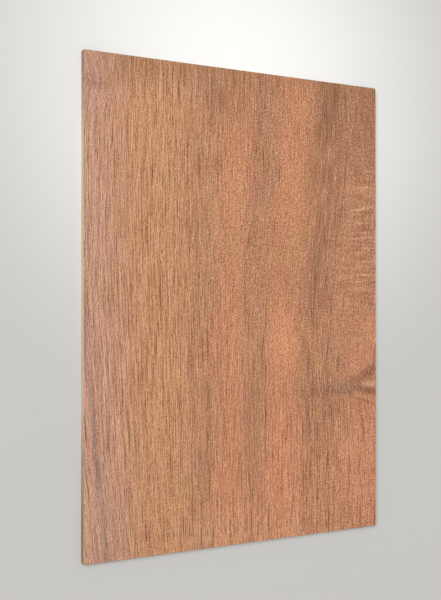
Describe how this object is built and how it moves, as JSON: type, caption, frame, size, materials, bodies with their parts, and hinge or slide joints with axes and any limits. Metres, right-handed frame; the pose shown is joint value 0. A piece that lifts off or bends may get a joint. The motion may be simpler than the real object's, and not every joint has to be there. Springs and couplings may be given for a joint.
{
  "type": "decorative laminate sheet",
  "caption": "Flat rectangular compact laminate sheet with a straight-grained wood decor face, cut to A4, for facing furniture and walls.",
  "frame": {"origin": "centre of the back face, on the level surface that the sheet lies on", "axes": "+X across the grain along the short side, +Y along the grain and the long side, +Z out of the decor face"},
  "size_m": [0.21, 0.297, 0.004],
  "materials": {
    "wood_decor_laminate": "satin"
  },
  "bodies": {
    "root": {"laminate_sheet": "wood_decor_laminate"}
  },
  "joints": []
}
